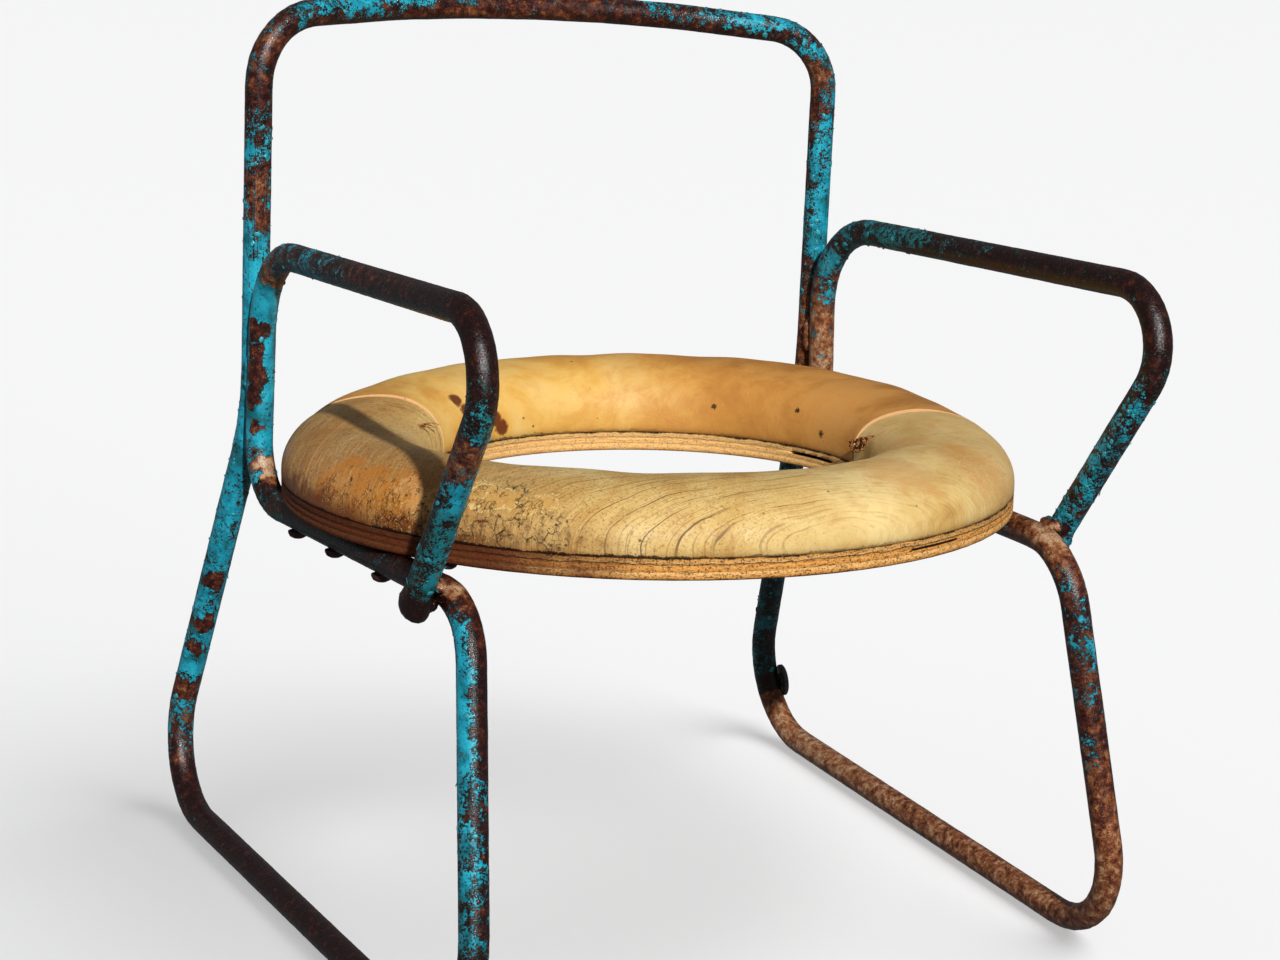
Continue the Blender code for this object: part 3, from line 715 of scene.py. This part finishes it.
def back_marks(wires, seat, x, mottle, grit, fibres, blotch):
    """Smooth amber varnish with stains, knots and scorched strokes, and a painted shadow in the open joint at
    the right, for the back plank.
    """
    side = wires.scaled(mottle, 0.10, x)
    seam = seam_gap(wires, seat)
    return wires.coats(
        "wood_amber",
        ("wood_pale", wires.band(blotch, 0.40, 0.66, 0.0, 0.45)),
        ("wood_stain", wires.band(blotch, 0.52, 0.36, 0.0, 0.55)),
        ("wood_stain", wires.band(mottle, 0.48, 0.66, 0.0, 0.22)),
        ("wood_ring", wires.band(fibres, 0.52, 0.70, 0.0, 0.12)),
        ("wood_stain", wires.band(side, 0.060, 0.170, 0.0, 0.80)),
        ("wood_ring", wires.band(side, 0.110, 0.200), wires.band(blotch, 0.56, 0.40), 0.45),
        ("wood_ring", wires.band(side, -0.060, -0.120, 0.0, 0.50), wires.band(fibres, 0.35, 0.6, 0.3, 1.0)),
        ("scorch", wires.spots(seat, SCORCHES, mottle, 0.012), 0.95),
        ("grime", wires.spots(seat, KNOTS, grit, 0.006), 0.9),
        ("wood_dark", wires.band(grit, 0.66, 0.72), wires.band(mottle, 0.5, 0.6), 0.5),
        ("wood_edge", wires.band(seam, 0.0006, 0.0003, 0.0, 0.80)),
        # Painted shadow of the open joint: the grime colour darkens the back plank's strip beside the seam.
        ("grime", wires.spots(seat, JOINT_GAP_SHADOW), wires.band(seam, 0.0018, 0.0012)),
    )


def split_mark(wires, along, up, stretch, thickness):
    """Dark split given as (middle, half length) along one axis and (middle, half thickness) in height."""
    gaps = ((wires.apart(value, middle), half) for value, (middle, half) in ((along, stretch), (up, thickness)))
    return wires.times(*[wires.band(gap, half, half * 0.85) for gap, half in gaps])


def ply_finish(settings):
    """Grimy plywood edge: plies of different brown with dark glue lines, paler inside the hole, and a dark
    red-brown outer left flank that is partly stain and partly painted shade.
    """
    wires = Wiring("grimy_plywood", settings)
    seat = seat_frame(wires)
    x, y, height = wires.split(seat)
    plan = wires.measure("LENGTH", wires.map(seat, scale=(1.0, 1.0, 0.0)))
    inside = wires.band(plan, 0.190, 0.150)
    wander = wires.noise(seat, 60.0, 4.0, 0.6)
    share = wires.math("DIVIDE", wires.roughened(height, wander, 0.0040), BASE_HEIGHT)
    plies = wires.ramp(
        share, (0.02, "ply_dark"), (0.12, "ply"), (0.36, "ply_pale"), (0.40, "ply"), (0.70, "ply"),
        (0.74, "ply_dark"), (0.78, "ply_pale"), (0.95, "ply"), (0.995, "grime"),
    )
    pale = wires.ramp(
        share, (0.02, "ply"), (0.20, "ply_pale"), (0.52, "ply_pale"), (0.56, "ply"), (0.60, "ply_pale"),
        (0.93, "ply_pale"), (0.99, "grime"),
    )
    fibres = wires.noise(wires.map(seat, scale=(1.0, 1.0, 7.0)), 210.0, 6.0, 0.74)
    strength = wires.band(inside, 0.0, 1.0, 0.80, 0.40)
    grit = wires.noise(seat, 850.0, 4.0, 0.7)
    side = wires.scaled(wander, 0.08, x)
    outer = wires.times(split_mark(wires, x, height, *OUTER_SPLIT), wires.band(y, 0.0, -0.05))
    inner = wires.times(split_mark(wires, y, height, *INNER_SPLIT), wires.band(x, 0.0, 0.05), inside)
    colour = wires.coats(
        plies,
        (pale, inside),
        ("ply_dark", wires.band(fibres, 0.50, 0.62), strength),
        ("ply_pale", wires.band(grit, 0.54, 0.64), 0.5),
        ("grime", wires.band(grit, 0.47, 0.39), strength),
        # Outer left flank darkened to red-brown: partly stain, partly painted shade on the side facing away
        # from the key.
        ("ply_left", wires.band(side, -0.040, -0.130, 0.0, 0.92), wires.band(inside, 1.0, 0.0)),
        ("grime", wires.math("MAXIMUM", outer, inner)),
    )
    line = wires.band(share, 0.72, 0.76)
    normal = wires.bump((fibres, 0.55, 0.0009), (grit, 0.5, 0.0006), (line, 0.4, 0.0005))
    rough = wires.band(fibres, 0.3, 0.7, 0.5, 0.8)
    return wires.finish(Base_Color=colour, Roughness=rough, Normal=normal, Specular_IOR_Level=0.16)


def crown_section(height):
    """Half-round section of a plank as (radius, height) points, from its outer to its inner foot."""
    middle = (SEAT_OUTER + SEAT_HOLE) / 2.0
    half = (SEAT_OUTER - SEAT_HOLE) / 2.0
    foot = BASE_HEIGHT + GLUE_FILM
    edge = foot + FOOT_BEVEL * 1.5
    points = [(SEAT_OUTER - FOOT_BEVEL, foot), (SEAT_OUTER, edge)]
    for i in range(CROWN_STEPS + 1):
        turn = math.pi * i / CROWN_STEPS
        power = 1.10 if i < CROWN_STEPS / 2 else 0.85
        reach = math.copysign(abs(math.cos(turn)) ** power, math.cos(turn))
        rise = CROWN_LIP + (height - CROWN_LIP) * math.sin(turn) ** 0.85
        points.append((middle + half * reach, foot + rise))
    points += [(SEAT_HOLE, edge), (SEAT_HOLE + FOOT_BEVEL, foot)]
    return points


def crowned_plank(side, height, hand_worn):
    """Crowned ring spun round the seat, cut along the glue joint, then worn uneven."""
    bm = bmesh.new()
    section = [bm.verts.new((radius, 0.0, z)) for radius, z in crown_section(height)]
    edges = [bm.edges.new(pair) for pair in zip(section, section[1:] + section[:1])]
    bmesh.ops.spin(
        bm, geom=section + edges, cent=(0, 0, 0), axis=(0, 0, 1), angle=math.tau, steps=SEAT_STEPS,
        use_merge=True,
    )
    bmesh.ops.recalc_face_normals(bm, faces=bm.faces)
    foot = BASE_HEIGHT + GLUE_FILM
    for vert in bm.verts:
        angle = math.atan2(vert.co.y, vert.co.x)
        worn = 1.0
        for centre, depth, sharpness in CROWN_WEAR[side]:
            worn *= 1.0 - depth * ((1.0 + math.cos(angle - math.radians(centre))) / 2.0) ** sharpness
        lift = max(0.0, vert.co.z - foot - CROWN_LIP)
        vert.co.z += lift * (worn - 1.0) + hand_worn * lift / height * noise.noise(vert.co * 34.0)
    seam = Vector((math.cos(GRAIN_TURN), math.sin(GRAIN_TURN), 0.0))
    across = Vector((-seam.y, seam.x, 0.0))
    pivot = across * JOINT_OFFSET - seam * math.sqrt(SEAT_OUTER ** 2 - JOINT_OFFSET ** 2)
    normal = across.copy()
    if side == "front":
        turn = GRAIN_TURN - JOINT_OPENING
        normal = Vector((math.sin(turn), -math.cos(turn), 0.0))
        pivot -= across * GLUE_FILM
    geometry = list(bm.verts) + list(bm.edges) + list(bm.faces)
    cut = bmesh.ops.bisect_plane(bm, geom=geometry, plane_co=pivot, plane_no=normal, clear_inner=True)
    rims = [item for item in cut["geom_cut"] if isinstance(item, bmesh.types.BMEdge)]
    bmesh.ops.holes_fill(bm, edges=rims, sides=0)
    bmesh.ops.transform(bm, matrix=SEAT_PLACE, verts=bm.verts)
    return bm


class CHAIR_OT_crowned_planks(bpy.types.Operator):
    """Build the two crowned planks with their worn varnish"""
    bl_idname = "chair.crowned_planks"
    bl_label = "Crowned planks"

    def execute(self, context):
        settings = context.scene.chair_wood
        for side, height in (("front", settings.front_height), ("back", settings.back_height)):
            bm = crowned_plank(side, height, settings.hand_worn)
            plank = add_piece(side + "_plank", bm, wood_finish(settings, side))
            plank.data.set_sharp_from_angle(angle=math.radians(38.0))
            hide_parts("seat_plank_" + side)
        return {"FINISHED"}


def strand(bm, place, length, radius, curl):
    """Tapered wood fibre that grows along +Z of its place and curls over towards +X."""
    ring = bmesh.ops.create_circle(bm, cap_ends=True, segments=6, radius=radius, matrix=place)["verts"]
    tip = [ring[0].link_faces[0]]
    for i in range(STRAND_STEPS):
        grown = bmesh.ops.extrude_face_region(bm, geom=tip)["geom"]
        tip = [item for item in grown if isinstance(item, bmesh.types.BMFace)]
        verts = [item for item in grown if isinstance(item, bmesh.types.BMVert)]
        turn = Matrix.Rotation(curl * i / STRAND_STEPS, 3, "Y")
        step = place.to_3x3() @ turn @ Vector((0.0, 0.0, length / STRAND_STEPS))
        bmesh.ops.translate(bm, verts=verts, vec=step)
        middle = sum((vert.co for vert in verts), Vector()) / len(verts)
        bend = place.to_3x3() @ Matrix.Rotation(curl / STRAND_STEPS, 3, "Y") @ place.to_3x3().inverted()
        bmesh.ops.rotate(bm, verts=verts, cent=middle, matrix=bend)
        bmesh.ops.scale(bm, verts=verts, vec=[STRAND_TAPER] * 3, space=Matrix.Translation(-middle))


def strand_finish(settings):
    """Bare wood fibre, grimy in its hollows."""
    wires = Wiring("torn_wood_fibre", settings)
    streaks = wires.noise(seat_frame(wires), 900.0, 4.0, 0.7)
    colour = wires.ramp(streaks, (0.40, "grime"), (0.50, "wood_brown"), (0.66, "wood_bald"))
    return wires.finish(Base_Color=colour, Roughness=0.7, Normal=wires.bump((streaks, 0.5, 0.0003)))


class CHAIR_OT_torn_fibres(bpy.types.Operator):
    """Grow the tufts of torn fibre that stand up at both ends of the glue joint"""
    bl_idname = "chair.torn_fibres"
    bl_label = "Torn fibres"

    def execute(self, context):
        settings = context.scene.chair_wood
        dice = Random(settings.fibre_seed)
        bm = bmesh.new()
        for spot, count, spread, length, lean, curl, radius in TUFTS:
            for i in range(count):
                share = i / (count - 1) - 0.5
                offset = Vector((share * spread, dice.uniform(-0.0012, 0.0012), dice.uniform(-0.0008, 0.0008)))
                turn = Matrix.Rotation(lean[1] + share * 1.1 + dice.uniform(-0.15, 0.15), 4, "Z")
                tilt = Matrix.Rotation(lean[0] + dice.uniform(-0.2, 0.2), 4, "Y")
                place = SEAT_PLACE @ Matrix.Translation(Vector(spot) + offset) @ turn @ tilt
                strand(
                    bm, place, length * dice.uniform(0.7, 1.1), radius * dice.uniform(0.7, 1.2),
                    curl * dice.uniform(0.7, 1.2),
                )
        bmesh.ops.recalc_face_normals(bm, faces=bm.faces)
        add_piece("torn_fibres", bm, strand_finish(settings))
        return {"FINISHED"}


class CHAIR_OT_plywood_base(bpy.types.Operator):
    """Build the plywood ring under the planks with its grimy edge"""
    bl_idname = "chair.plywood_base"
    bl_label = "Plywood base"

    def execute(self, context):
        bm = bmesh.new()
        bm.from_mesh(NODES["seat_base_ring"].data)
        bmesh.ops.remove_doubles(bm, verts=bm.verts, dist=MERGE_DISTANCE)
        base = add_piece("plywood_base", bm, ply_finish(context.scene.chair_wood))
        base.data.set_sharp_from_angle(angle=math.radians(30.0))
        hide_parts("seat_base_ring")
        return {"FINISHED"}


# The fixings

def iron_finish(settings, name, bright):
    """Rusted iron, or the dull grey of the leg disc."""
    wires = Wiring(name, settings)
    scale = wires.noise(wires.place, 420.0, 6.0, 0.7, 0.6)
    grit = wires.noise(wires.place, 1800.0, 2.0)
    return wires.finish(
        Base_Color=wires.ramp(scale, (0.32, "iron_dark"), (0.52, bright), (0.68, "iron_rust")),
        Roughness=wires.band(grit, 0.3, 0.7, 0.45, 0.75),
        Normal=wires.bump((scale, 0.7, 0.0006), (grit, 0.3, 0.0002)), Metallic=0.25,
    )


class CHAIR_OT_fixings(bpy.types.Operator):
    """Rust the bolts and screws and dull the disc on the rear leg"""
    bl_idname = "chair.fixings"
    bl_label = "Fixings"

    def execute(self, context):
        settings = context.scene.chair_fixings
        rusty = iron_finish(settings, "rusty_iron", "iron")
        grey = iron_finish(settings, "dull_disc", "disc_grey")
        for name, thing in NODES.items():
            if name.startswith(("rail_bolt", "rim_screw")):
                thing.material_slots[0].material = rusty
        NODES["leg_disc"].material_slots[0].material = grey
        return {"FINISHED"}


# The stage

def add_light(name, strength, way, receivers, **looks):
    """Sun that comes from one way and falls on some things only."""
    data = bpy.data.lights.new(name, "SUN")
    data.energy = strength
    for key, value in looks.items():
        setattr(data, key, value)
    lamp = add_object(name, data)
    heading = (-Vector(way)).to_track_quat("-Z", "Y").to_matrix().to_4x4()
    lamp.matrix_world = Matrix.Translation(VIEW_TARGET + Vector(way)) @ heading
    lit = bpy.data.collections.new(name + "_receivers")
    for thing in receivers:
        lit.objects.link(thing)
    lamp.light_linking.receiver_collection = lit
    return lamp


def floor_finish(settings):
    """Pale floor with painted light: a little brighter towards the right and the back, darker towards the left
    and the front.
    """
    wires = Wiring("pale_floor", settings)
    grain = wires.noise(wires.place, 240.0, 3.0)
    # Painted light falloff: the floor's colour darkens away from the right and the back.
    slope = wires.measure("DOT_PRODUCT", wires.place, (0.75, 0.35, 0.0))
    painted_falloff = wires.scaled(wires.noise(wires.place, 1.6, 3.0), 0.2, slope)
    shade = [value * 0.93 for value in settings.floor]
    return wires.finish(
        Base_Color=wires.mix(wires.band(painted_falloff, -0.55, 0.75), shade, "floor"),
        Roughness=wires.band(grain, 0.3, 0.7, 0.82, 0.95), Normal=wires.bump((grain, 0.05, 0.0003)),
        Specular_IOR_Level=0.2,
    )


class CHAIR_OT_stage(bpy.types.Operator):
    """Set the pale floor, the soft studio light and the camera at the photograph's angle"""
    bl_idname = "chair.stage"
    bl_label = "Stage"

    def execute(self, context):
        settings = context.scene.chair_stage
        bm = bmesh.new()
        bmesh.ops.create_grid(bm, x_segments=2, y_segments=2, size=settings.floor_size / 2.0)
        floor = add_object("floor", mesh_from("floor", bm, floor_finish(settings)))
        floor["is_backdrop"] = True
        floor.visible_diffuse = False
        floor.visible_glossy = False

        world = bpy.data.worlds.new("studio")
        world.use_nodes = True
        sky = world.node_tree.nodes["Background"].inputs
        sky[0].default_value = (*settings.sky, 1.0)
        sky[1].default_value = settings.sky_strength
        context.scene.world = world
        context.scene.view_settings.view_transform = "Standard"
        chair = [thing for thing in context.scene.objects if thing.type == "MESH" and thing is not floor]
        wide = settings.wash_angle
        add_light("key", settings.key_strength, settings.key_way, chair, angle=settings.key_angle)
        back = add_light("back", settings.back_strength, settings.back_way, chair, angle=wide)
        side = add_light("side", settings.side_strength, settings.side_way, chair, angle=wide)
        back.visible_glossy = side.visible_glossy = False
        add_light("wash", settings.wash_strength, settings.wash_way, [floor], angle=wide)
        add_light("fill", settings.fill_strength, (0.0, 0.0, 3.0), [floor], use_shadow=False)

        data = bpy.data.cameras.new("photo_camera")
        data.lens = settings.lens
        data.sensor_width = 36.0
        data.clip_end = 100.0
        camera = add_object("photo_camera", data)
        backward = CAMERA_DOWN.cross(CAMERA_RIGHT)
        turn = Matrix((CAMERA_RIGHT, -CAMERA_DOWN, backward)).transposed().to_4x4()
        camera.matrix_world = Matrix.Translation(settings.camera_place) @ turn
        context.scene.camera = camera
        return {"FINISHED"}


# Settings

def a_colour(name, description, *default):
    return FloatVectorProperty(
        name=name, description=description, default=default, subtype="COLOR", size=3, min=0.0, max=1.0
    )


def an_amount(name, description, default, least=0.0, **kind):
    return FloatProperty(name=name, description=description, default=default, min=least, **kind)


def a_length(name, description, default, least=0.0):
    return an_amount(name, description, default, least, subtype="DISTANCE", unit="LENGTH")


def an_angle(name, description, degrees):
    return an_amount(name, description, math.radians(degrees), subtype="ANGLE", unit="ROTATION")


def a_number(name, description, default, least=0):
    return IntProperty(name=name, description=description, default=default, min=least)


def a_way(name, description, *default):
    return FloatVectorProperty(name=name, description=description, default=default, size=3, subtype="XYZ")


class ChairPaintSettings(bpy.types.PropertyGroup):
    """The tube's paint and rust"""
    patchiness: an_amount("Patchiness", "Spread of the noise that breaks up the paint", 0.058, 0.01)
    flakes: a_number("Flakes", "Number of curled paint chips", 520, 1)
    flake_seed: a_number("Flake seed", "Start of the chips' random places", 7)
    mesh_step: a_length("Mesh step", "Spacing of the tube's fine mesh", 0.0031, 0.0012)
    paint: a_colour("Paint", "Turquoise paint", 0.008, 0.270, 0.380)
    paint_deep: a_colour("Deep paint", "Darker, greener paint", 0.004, 0.125, 0.150)
    paint_bright: a_colour("Bright paint", "Paint where it is least worn", 0.018, 0.400, 0.530)
    paint_thin: a_colour("Thin paint", "Paint worn thin along its edges", 0.010, 0.105, 0.085)
    rust_dark: a_colour("Dark rust", "Near-black maroon rust", 0.0110, 0.0030, 0.0028)
    rust: a_colour("Rust", "Maroon-brown rust", 0.068, 0.013, 0.008)
    rust_orange: a_colour("Orange rust", "Fresh orange-brown rust", 0.260, 0.085, 0.026)
    # Tan rust, also used for painted glints on the rust's grit.
    rust_tan: a_colour("Tan rust", "Dusty tan rust", 0.520, 0.330, 0.190)


class ChairWoodSettings(bpy.types.PropertyGroup):
    """The planks and the plywood"""
    front_height: a_length("Front height", "Crown height of the front plank", 0.0352, 0.01)
    back_height: a_length("Back height", "Crown height of the back plank", 0.0420, 0.01)
    hand_worn: a_length("Hand worn", "Unevenness of the planks' tops", 0.0012)
    fibre_seed: a_number("Fibre seed", "Start of the fibres' random lean", 3)
    wood: a_colour("Wood", "Varnished wood of the front plank", 0.660, 0.430, 0.140)
    wood_deep: a_colour("Deep wood", "Darker wood of the front plank", 0.500, 0.260, 0.073)
    wood_amber: a_colour("Amber wood", "Varnished wood of the back plank", 0.720, 0.410, 0.085)
    wood_stain: a_colour("Stained wood", "Stained areas of both planks", 0.540, 0.220, 0.045)
    wood_pale: a_colour("Pale wood", "Wood where the varnish has gone", 0.800, 0.600, 0.260)
    wood_brown: a_colour("Brown wood", "Grimy brown wood at the left end", 0.310, 0.105, 0.016)
    wood_bald: a_colour("Bald wood", "Wood where the amber varnish has come off", 0.640, 0.330, 0.115)
    wood_film: a_colour("Varnish film", "Peninsula of varnish right of the strut", 0.600, 0.330, 0.090)
    wood_edge: a_colour("Wood edge", "Pale rubbed edge along the glue joint", 0.700, 0.420, 0.200)
    wood_dark: a_colour("Dark wood", "Brown grime in the pores", 0.110, 0.048, 0.017)
    wood_ring: a_colour("Growth ring", "Late wood of the growth rings", 0.230, 0.090, 0.020)
    varnish_amber: a_colour("Amber varnish", "Thick varnish that is left", 0.520, 0.170, 0.012)
    scorch: a_colour("Scorch", "Red-brown strokes and the left end's foot", 0.120, 0.020, 0.006)
    # The grime colour also paints the shadow in the open joint between the planks.
    grime: a_colour("Grime", "Dirt in seams and pores", 0.0150, 0.0070, 0.0035)
    ply: a_colour("Ply", "Plywood edge", 0.720, 0.320, 0.070)
    ply_pale: a_colour("Pale ply", "Rubbed plywood fibres", 0.860, 0.500, 0.180)
    ply_dark: a_colour("Dark ply", "Dark plywood fibres", 0.170, 0.065, 0.018)
    # Dark red-brown of the outer left flank: partly stain, partly painted shade.
    ply_left: a_colour("Stained ply", "Red-brown stain on the left flank", 0.075, 0.009, 0.003)


class ChairFixingSettings(bpy.types.PropertyGroup):
    """The bolts, screws and leg disc"""
    iron: a_colour("Iron", "Rusty iron", 0.045, 0.014, 0.010)
    iron_dark: a_colour("Dark iron", "Black scale", 0.010, 0.005, 0.005)
    iron_rust: a_colour("Iron rust", "Orange rust on the fixings", 0.180, 0.060, 0.022)
    disc_grey: a_colour("Disc grey", "Dull grey of the leg disc", 0.120, 0.130, 0.130)


class ChairStageSettings(bpy.types.PropertyGroup):
    """The floor, the light and the camera"""
    floor_size: a_length("Floor size", "Side of the square floor", 40.0, 4.0)
    floor: a_colour("Floor", "Pale floor", 0.880, 0.880, 0.880)
    sky: a_colour("Sky", "Colour of the even studio light", 0.940, 0.960, 1.000)
    sky_strength: an_amount("Sky strength", "Even studio light", 0.12)
    key_strength: an_amount("Key strength", "Strength of the key light", 4.05)
    key_angle: an_angle("Key angle", "Apparent size of the key light", 1.4)
    key_way: a_way("Key way", "Direction that the key light comes from", -0.48, -1.90, 1.20)
    back_strength: an_amount("Back strength", "Soft light on the chair's back", 1.10)
    back_way: a_way("Back way", "Direction that the back light comes from", -0.50, 1.50, 0.15)
    side_strength: an_amount("Side strength", "Soft light on the chair's right side", 0.70)
    side_way: a_way("Side way", "Direction that the side light comes from", 1.60, 0.50, 0.25)
    wash_strength: an_amount("Wash strength", "Soft light on the floor", 1.7)
    wash_angle: an_angle("Wash angle", "Apparent size of the soft lights", 50.0)
    wash_way: a_way("Wash way", "Direction that the floor's light comes from", 0.55, -0.45, 1.00)
    fill_strength: an_amount("Fill strength", "Even light that lifts the floor's shadows", 1.62)
    lens: an_amount("Lens", "Focal length in millimetres", 82.01, 10.0)
    camera_place: FloatVectorProperty(
        name="Camera place", description="Where the photograph was taken from", size=3,
        default=(-0.77396, -1.45270, 0.68163), subtype="TRANSLATION", unit="LENGTH",
    )


SETTINGS = {
    "chair_paint": ChairPaintSettings,
    "chair_wood": ChairWoodSettings,
    "chair_fixings": ChairFixingSettings,
    "chair_stage": ChairStageSettings,
}
OPERATORS = (
    CHAIR_OT_painted_tube, CHAIR_OT_paint_flakes, CHAIR_OT_crowned_planks, CHAIR_OT_torn_fibres,
    CHAIR_OT_plywood_base, CHAIR_OT_fixings, CHAIR_OT_stage,
)


class CHAIR_PT_panel(bpy.types.Panel):
    """Everything that makes the chair"""
    bl_idname = "CHAIR_PT_panel"
    bl_label = "Peeling Paint Chair"
    bl_space_type = "VIEW_3D"
    bl_region_type = "UI"
    bl_category = "Chair"

    def draw(self, context):
        for key, group in SETTINGS.items():
            box = self.layout.box()
            for setting in group.__annotations__:
                box.prop(getattr(context.scene, key), setting)
        for operator in OPERATORS:
            self.layout.operator(operator.bl_idname)


def register():
    for group in SETTINGS.values():
        bpy.utils.register_class(group)
    for key, group in SETTINGS.items():
        setattr(bpy.types.Scene, key, PointerProperty(type=group))
    for operator in OPERATORS:
        bpy.utils.register_class(operator)
    bpy.utils.register_class(CHAIR_PT_panel)


def unregister():
    bpy.utils.unregister_class(CHAIR_PT_panel)
    for operator in OPERATORS:
        bpy.utils.unregister_class(operator)
    for key, group in SETTINGS.items():
        delattr(bpy.types.Scene, key)
        bpy.utils.unregister_class(group)


def main():
    register()
    bpy.ops.chair.painted_tube()
    bpy.ops.chair.paint_flakes()
    bpy.ops.chair.crowned_planks()
    bpy.ops.chair.torn_fibres()
    bpy.ops.chair.plywood_base()
    bpy.ops.chair.fixings()
    bpy.ops.chair.stage()
    boxes = {"loaded": LOADED_BOX, "made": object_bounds()}
    boxes = {key: [list(corner) for corner in box] for key, box in boxes.items()}


if __name__ == "__main__":
    main()
